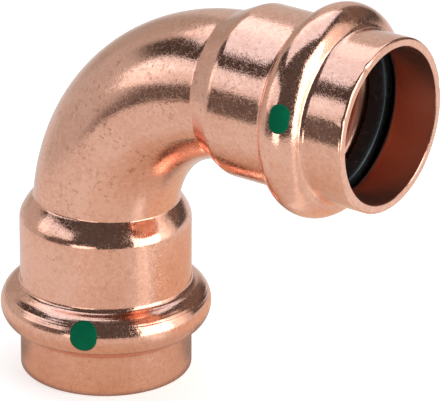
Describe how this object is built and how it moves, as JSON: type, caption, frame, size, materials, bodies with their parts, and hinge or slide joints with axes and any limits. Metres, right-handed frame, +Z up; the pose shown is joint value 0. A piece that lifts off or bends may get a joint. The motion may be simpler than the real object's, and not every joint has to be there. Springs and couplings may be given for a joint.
{
  "type": "press fit pipe elbow",
  "caption": "Quarter-turn copper pipe elbow with a press socket at each end: a rolled bead behind each mouth holds a rubber sealing ring and carries a green paint dot.",
  "frame": {"origin": "centre of the lower socket's mouth", "axes": "+Z up along the lower socket into the fitting, +X out along the upper socket, Y across the bend's plane"},
  "size_m": [0.0638, 0.0304, 0.0638],
  "materials": {
    "copper": null,
    "seal_rubber": "black moulded rubber with a dull sheen",
    "mark_paint": "flat green marking paint"
  },
  "bodies": {
    "root": {"elbow_body": "copper", "lower_seal_ring": "seal_rubber", "upper_seal_ring": "seal_rubber", "lower_paint_mark": "mark_paint", "upper_paint_mark": "mark_paint"}
  },
  "joints": []
}
